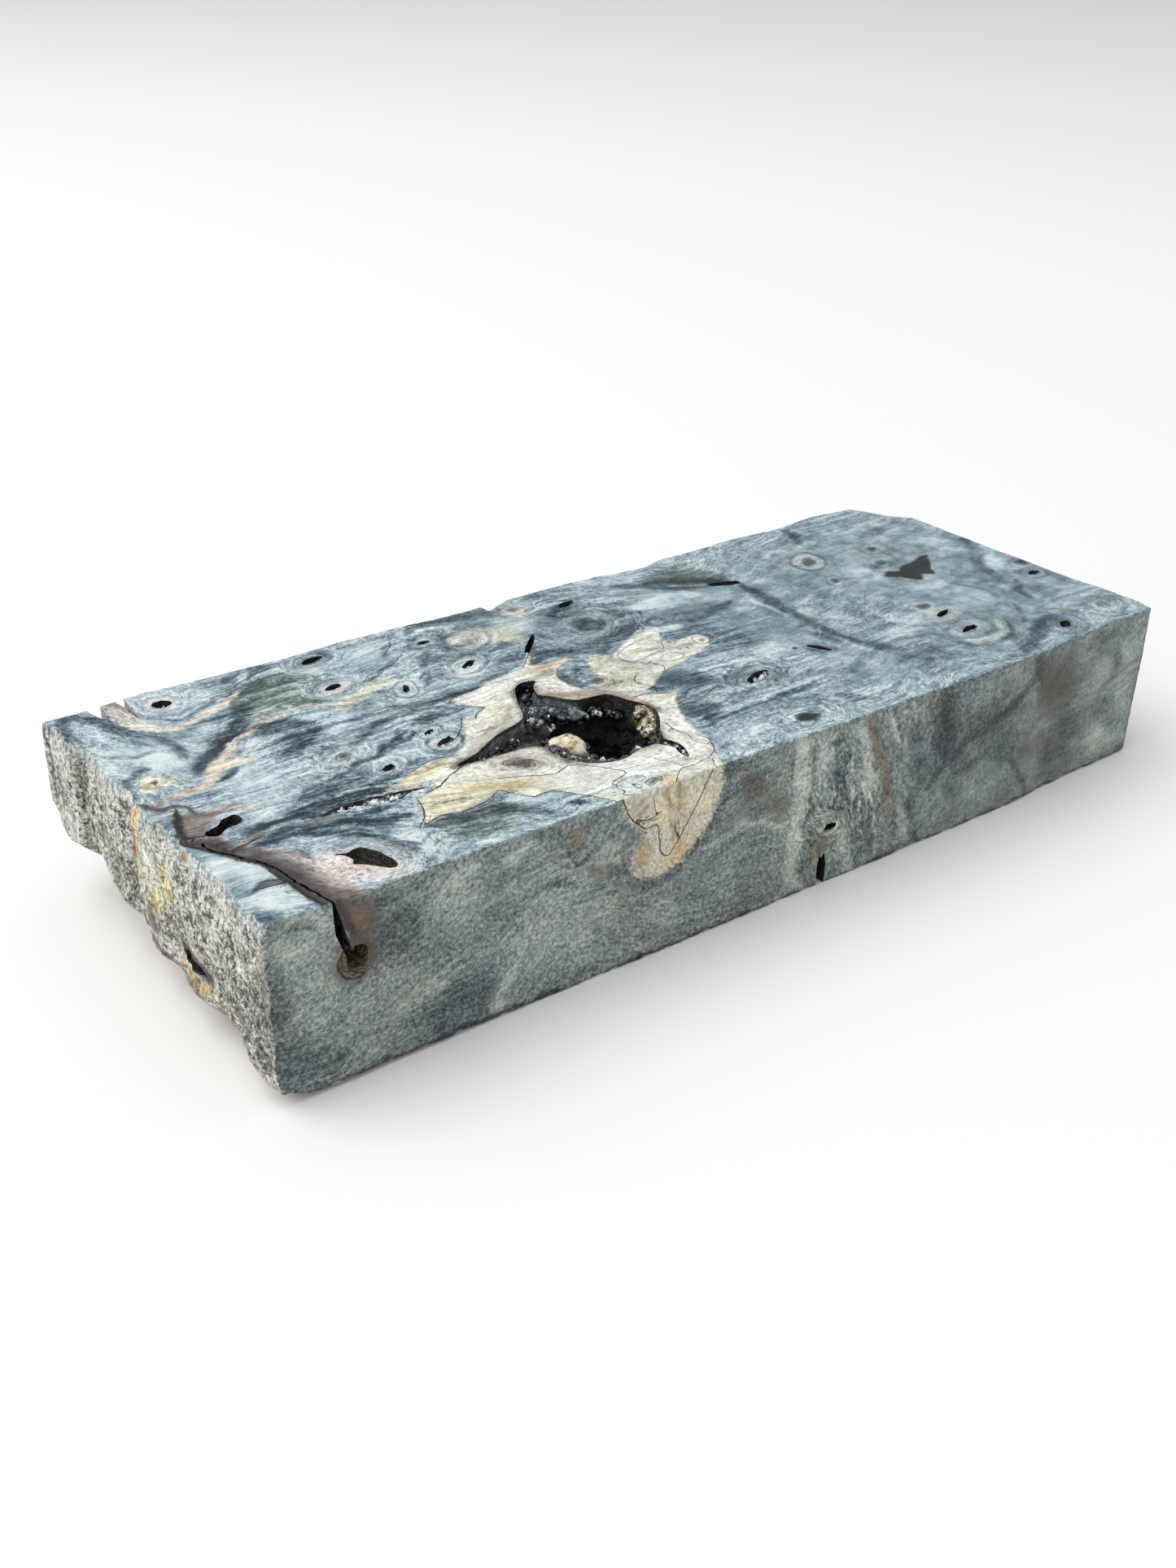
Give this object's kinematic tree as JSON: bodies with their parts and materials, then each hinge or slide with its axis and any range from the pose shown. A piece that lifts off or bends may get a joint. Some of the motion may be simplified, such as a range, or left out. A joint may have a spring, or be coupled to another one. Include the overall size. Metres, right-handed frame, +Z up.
{
  "type": "stabilized burl block",
  "caption": "Sawn block of spalted burl wood with a flat top, torn end grain, an undercut natural edge and an open bark hollow, for turning, carving or display.",
  "frame": {"origin": "centre of the block's bounding box at its underside, where it rests", "axes": "+X along the block's length from the torn left end to the sawn right end, +Y from the front face to the back face, +Z up out of the sanded top"},
  "size_m": [0.1414, 0.0559, 0.0226],
  "materials": {
    "burl_wood": "resin-stabilized, fine-sanded top, rough-sawn sides"
  },
  "bodies": {
    "root": {"burl_block": "burl_wood"}
  },
  "joints": []
}
